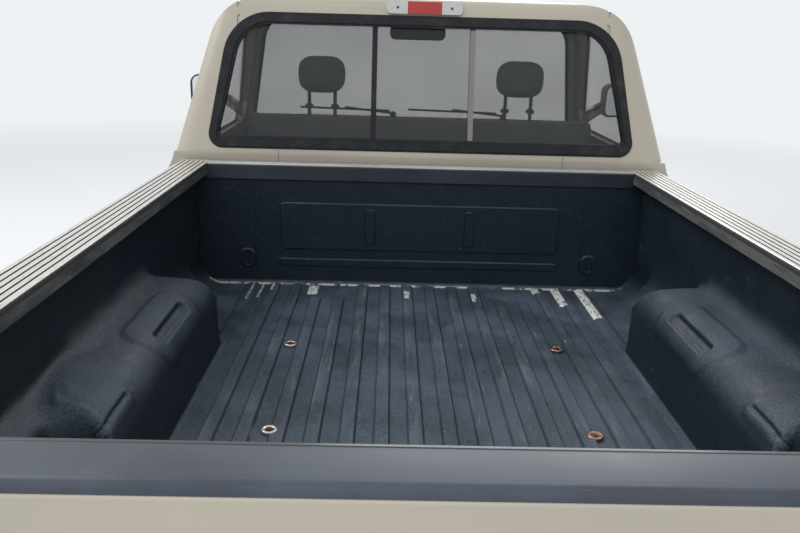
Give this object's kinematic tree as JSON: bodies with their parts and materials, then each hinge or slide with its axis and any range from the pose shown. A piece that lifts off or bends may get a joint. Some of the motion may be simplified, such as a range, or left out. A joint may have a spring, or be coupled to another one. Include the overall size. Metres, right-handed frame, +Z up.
{
  "type": "pickup truck",
  "caption": "Full-size pickup truck with a two-door cab, a lined load bed, opening doors, hood and tailgate, and steered, rolling wheels.",
  "frame": {"origin": "on the ground under the middle of the overall box", "axes": "+Y towards the front of the truck, +X to its right-hand side, +Z up"},
  "size_m": [2.184, 5.16, 1.8584],
  "materials": {
    "body_paint": "metallic gloss",
    "underbody": "dull, dusty",
    "chassis_steel": "dull black, rusty at the edges",
    "engine_metal": "dull",
    "exhaust_steel": "dull",
    "tank_plastic": "matt",
    "window_glass": "clear, lightly tinted",
    "seal_rubber": "matt",
    "seat_fabric": "woven",
    "interior_plastic": "matt",
    "grille_plastic": "satin",
    "lamp_glass": "clear",
    "bumper_chrome": "bright",
    "liner_plastic": "worn, moulded grain",
    "lamp_red": "clear red",
    "cap_plastic": "satin, scuffed",
    "tyre_rubber": "matt",
    "rim_alloy": "satin"
  },
  "bodies": {
    "chassis": {"fenders": "body_paint", "cab_sides": "body_paint", "cab_back_panel": "body_paint", "roof_panel": "body_paint", "bed_sides": "body_paint", "cab_floor": "underbody", "ladder_frame": "chassis_steel", "rear_axle": "chassis_steel", "front_suspension": "chassis_steel", "engine_block": "engine_metal", "exhaust": "exhaust_steel", "fuel_tank": "tank_plastic", "spare_wheel": "tyre_rubber", "windshield": "window_glass", "rear_window_glass": "window_glass", "rear_window_seal": "seal_rubber", "bench_seat": "seat_fabric", "dashboard": "interior_plastic", "steering_wheel": "interior_plastic", "interior_mirror": "interior_plastic", "grille": "grille_plastic", "headlamps": "lamp_glass", "front_bumper": "bumper_chrome", "bed_front_wall": "underbody", "bed_floor": "underbody", "bed_liner": "liner_plastic", "rear_lamps": "lamp_red", "rear_bumper": "bumper_chrome"},
    "wheel_front_left": {"tyre_front_left": "tyre_rubber", "rim_front_left": "rim_alloy"},
    "wheel_front_right": {"tyre_front_right": "tyre_rubber", "rim_front_right": "rim_alloy"},
    "wheel_rear_left": {"tyre_rear_left": "tyre_rubber", "rim_rear_left": "rim_alloy"},
    "wheel_rear_right": {"tyre_rear_right": "tyre_rubber", "rim_rear_right": "rim_alloy"},
    "steer_left": {"knuckle_left": "chassis_steel"},
    "steer_right": {"knuckle_right": "chassis_steel"},
    "door_left": {"door_left": "body_paint", "door_glass_left": "window_glass"},
    "door_right": {"door_right": "body_paint", "door_glass_right": "window_glass"},
    "hood": {"hood": "body_paint"},
    "tailgate": {"tailgate": "body_paint", "tailgate_cap": "cap_plastic"}
  },
  "joints": [
    {"name": "steer_left", "type": "hinge", "parent": "chassis", "child": "steer_left", "pos_m": [-0.735, 1.65, 0.3815], "axis": [0, 0, 1], "range_deg": [-33, 33]},
    {"name": "steer_right", "type": "hinge", "parent": "chassis", "child": "steer_right", "pos_m": [0.735, 1.65, 0.3815], "axis": [0, 0, 1], "range_deg": [-33, 33]},
    {"name": "spin_front_left", "type": "hinge", "parent": "steer_left", "child": "wheel_front_left", "pos_m": [-0.8325, 1.65, 0.3815], "axis": [1, 0, 0], "continuous": true},
    {"name": "spin_rear_left", "type": "hinge", "parent": "chassis", "child": "wheel_rear_left", "pos_m": [-0.8325, -1.395, 0.3815], "axis": [1, 0, 0], "continuous": true},
    {"name": "spin_front_right", "type": "hinge", "parent": "steer_right", "child": "wheel_front_right", "pos_m": [0.8325, 1.65, 0.3815], "axis": [1, 0, 0], "continuous": true},
    {"name": "spin_rear_right", "type": "hinge", "parent": "chassis", "child": "wheel_rear_right", "pos_m": [0.8325, -1.395, 0.3815], "axis": [1, 0, 0], "continuous": true},
    {"name": "door_left_hinge", "type": "hinge", "parent": "chassis", "child": "door_left", "pos_m": [-0.976, 1.036, 0.8], "axis": [0, 0, -1], "range_deg": [0, 65]},
    {"name": "door_right_hinge", "type": "hinge", "parent": "chassis", "child": "door_right", "pos_m": [0.976, 1.036, 0.8], "axis": [0, 0, 1], "range_deg": [0, 65]},
    {"name": "hood_hinge", "type": "hinge", "parent": "chassis", "child": "hood", "pos_m": [0, 1.241, 1.243], "axis": [1, 0, 0], "range_deg": [0, 50]},
    {"name": "tailgate_hinge", "type": "hinge", "parent": "chassis", "child": "tailgate", "pos_m": [0, -2.325, 0.765], "axis": [1, 0, 0], "range_deg": [0, 90]}
  ],
  "couplings": [
    {"joint": "steer_right", "follows": "steer_left", "ratio": 1}
  ]
}
